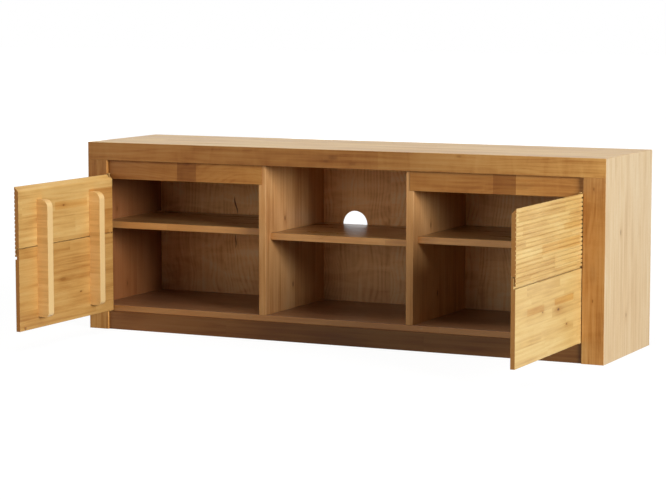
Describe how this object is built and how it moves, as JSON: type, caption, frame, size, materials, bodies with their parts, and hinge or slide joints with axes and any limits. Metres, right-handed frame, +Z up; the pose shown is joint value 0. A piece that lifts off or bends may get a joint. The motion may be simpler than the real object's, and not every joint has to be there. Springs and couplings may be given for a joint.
{
  "type": "media cabinet",
  "caption": "Low solid-wood media cabinet with an open middle bay, shelves on pins and fluted side doors that swing on pivot pins",
  "frame": {"origin": "on the floor, under the middle of the cabinet's footprint", "axes": "+X to the right along the length as seen from the front, +Y to the back, +Z up"},
  "size_m": [1.6, 0.8827, 0.552],
  "materials": {
    "shell_wood": "oiled",
    "inner_wood": "oiled",
    "door_wood": "oiled",
    "back_wood": "oiled",
    "dowel_wood": "oiled",
    "steel": "brushed",
    "brass": "plain",
    "bronze": "matte",
    "catch_plastic": "matte"
  },
  "bodies": {
    "cabinet": {"top_panel": "shell_wood", "top_rail": "shell_wood", "side_right": "shell_wood", "side_left": "shell_wood", "stile_right": "shell_wood", "stile_left": "shell_wood", "plinth_front": "shell_wood", "fascia_right": "shell_wood", "fascia_left": "shell_wood", "bottom_panel": "inner_wood", "divider_right": "inner_wood", "divider_left": "inner_wood", "shelf_right": "inner_wood", "shelf_middle": "inner_wood", "shelf_left": "inner_wood", "plinth_rear": "inner_wood", "plinth_bearer": "inner_wood", "back_panel": "back_wood", "divider_dowels": "dowel_wood", "back_screws": "steel", "shelf_pins": "steel", "pivot_plates_right": "bronze", "pivot_plates_left": "bronze", "pivot_pins_right": "bronze", "pivot_pins_left": "bronze", "catch_magnets": "catch_plastic"},
    "door_right": {"door_upper_board_right": "door_wood", "door_lower_board_right": "door_wood", "door_batten_hinge_right": "door_wood", "door_batten_free_right": "door_wood", "door_dowels_right": "dowel_wood", "door_bushes_right": "brass", "door_strike_right": "catch_plastic"},
    "door_left": {"door_upper_board_left": "door_wood", "door_lower_board_left": "door_wood", "door_batten_hinge_left": "door_wood", "door_batten_free_left": "door_wood", "door_dowels_left": "dowel_wood", "door_bushes_left": "brass", "door_strike_left": "catch_plastic"}
  },
  "joints": [
    {"name": "door_right_hinge", "type": "hinge", "parent": "cabinet", "child": "door_right", "pos_m": [0.7292, -0.1965, 0.2575], "axis": [0, 0, 1], "range_deg": [-90, 15]},
    {"name": "door_left_hinge", "type": "hinge", "parent": "cabinet", "child": "door_left", "pos_m": [-0.7292, -0.1965, 0.2575], "axis": [0, 0, -1], "range_deg": [-90, 15]}
  ]
}
